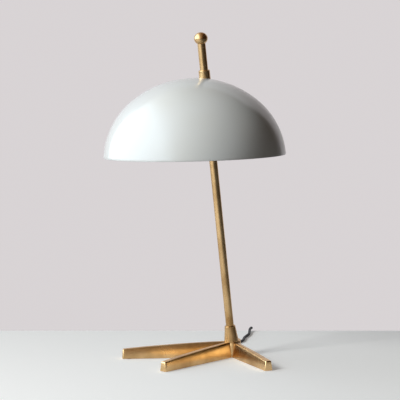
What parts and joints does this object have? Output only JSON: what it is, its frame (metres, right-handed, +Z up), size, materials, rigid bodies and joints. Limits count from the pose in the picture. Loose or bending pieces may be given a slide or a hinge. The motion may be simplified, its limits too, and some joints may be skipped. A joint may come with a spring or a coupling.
{
  "type": "desk lamp",
  "caption": "Dome shade desk lamp: enamelled dome sliding and turning on a leaning brass stem with a ball end, on a low bird's-foot brass base, with coiled lead and plug.",
  "frame": {"origin": "on the table under the middle of the hub, where the felt pads stand", "axes": "+Z up; -Y towards the front, where the short and the middle leg point; +X to the right"},
  "size_m": [0.2999, 0.5756, 0.5515],
  "materials": {
    "aged_brass": "satin, aged",
    "enamel": "gloss off-white enamel",
    "felt": "felt",
    "steel": "zinc plated",
    "cloth_cord": "twisted cloth cover",
    "black_plastic": "matt moulding",
    "raked_washer": "satin",
    "fibre": "pressed fibre",
    "phenolic": "moulded",
    "contact_brass": "bright",
    "bulb_metal": "bright",
    "clear_glass": "clear",
    "filament": "coated sticks"
  },
  "bodies": {
    "base": {"foot_casting": "aged_brass", "leg_pads": "felt", "hub_pad": "felt", "hub_cover": "steel", "stem_nipple": "steel", "lock_washer": "steel", "nipple_nut": "steel", "cord_bush": "black_plastic", "stem_ferrule": "aged_brass", "stem_tube": "aged_brass", "ball_knob": "aged_brass", "riser_cable": "cloth_cord", "mains_cord": "cloth_cord", "cord_coil": "cloth_cord", "plug_body": "black_plastic", "plug_blades": "contact_brass"},
    "height_clamp": {"clamp_collar": "aged_brass", "thrust_washer": "fibre"},
    "clamp_screw": {"clamp_screw": "aged_brass"},
    "head": {"shade": "enamel", "top_collar": "aged_brass", "angle_washer": "raked_washer", "wave_washer": "steel", "carrier_hub": "aged_brass", "arm_tube": "aged_brass", "arm_lead": "cloth_cord", "holder_cap": "aged_brass", "holder_shell": "aged_brass", "holder_liner": "fibre", "switch_block": "phenolic", "screw_shell": "contact_brass", "centre_contact": "contact_brass", "bulb_cap": "bulb_metal", "bulb_contact": "bulb_metal", "bulb_glass": "clear_glass", "bulb_mount": "clear_glass", "bulb_filament": "filament"},
    "switch_knob": {"switch_knob": "black_plastic", "switch_spindle": "contact_brass"}
  },
  "joints": [
    {"name": "head_slide", "type": "slide", "parent": "base", "child": "height_clamp", "axis": [-0.1008, -0.1128, 0.9885], "range_m": [-0.08, 0.037]},
    {"name": "clamp_screw_turn", "type": "hinge", "parent": "height_clamp", "child": "clamp_screw", "pos_m": [-0.04431, -0.04958, 0.43451], "axis": [0.6589, 0.7369, 0.1513], "range_deg": [0, 360]},
    {"name": "head_swivel", "type": "hinge", "parent": "height_clamp", "child": "head", "pos_m": [-0.04514, -0.05052, 0.44271], "axis": [-0.1008, -0.1128, 0.9885], "range_deg": [-160, 160]},
    {"name": "switch_knob_turn", "type": "hinge", "parent": "head", "child": "switch_knob", "pos_m": [-0.0766, -0.08567, 0.42912], "axis": [0.7455, -0.6665, 0], "continuous": true}
  ]
}
